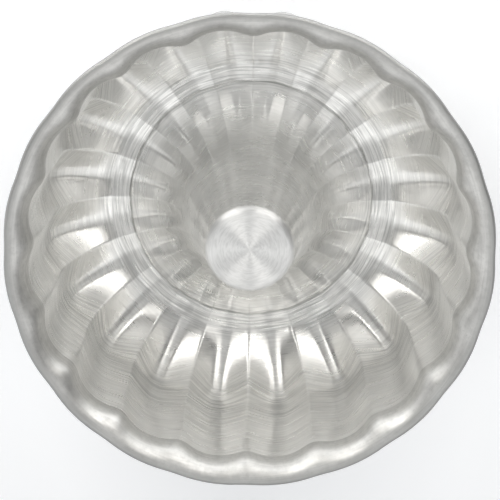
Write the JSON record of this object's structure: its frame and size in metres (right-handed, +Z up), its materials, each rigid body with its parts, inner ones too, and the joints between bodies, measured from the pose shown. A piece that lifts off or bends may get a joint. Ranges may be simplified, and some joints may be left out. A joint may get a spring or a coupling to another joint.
{
  "type": "fluted ring mould",
  "caption": "Ring mould for brioche, pressed from aluminium sheet: fluted bowl and wall, closed centre cone, base ring and rolled rim.",
  "frame": {"origin": "centre of the base, on the plane that the mould stands on", "axes": "+Z up through the centre cone, out of the open mouth; +X and -Y each pass through a ridge between two flutes"},
  "size_m": [0.249, 0.249, 0.104],
  "materials": {
    "pressed_sheet": "bare aluminium, pressed, satin with fine scratches round the axis",
    "turned_cap": "bare aluminium, turned, with fine rings about the axis",
    "rim_sheet": "bare aluminium, worn and slightly pitted, brushed along the edge"
  },
  "bodies": {
    "root": {"cone_cap": "turned_cap", "centre_cone": "pressed_sheet", "cone_flutes": "pressed_sheet", "floor_band": "pressed_sheet", "fluted_bowl": "pressed_sheet", "fluted_wall": "pressed_sheet", "rim_flange": "rim_sheet", "rolled_edge": "rim_sheet"}
  },
  "joints": []
}
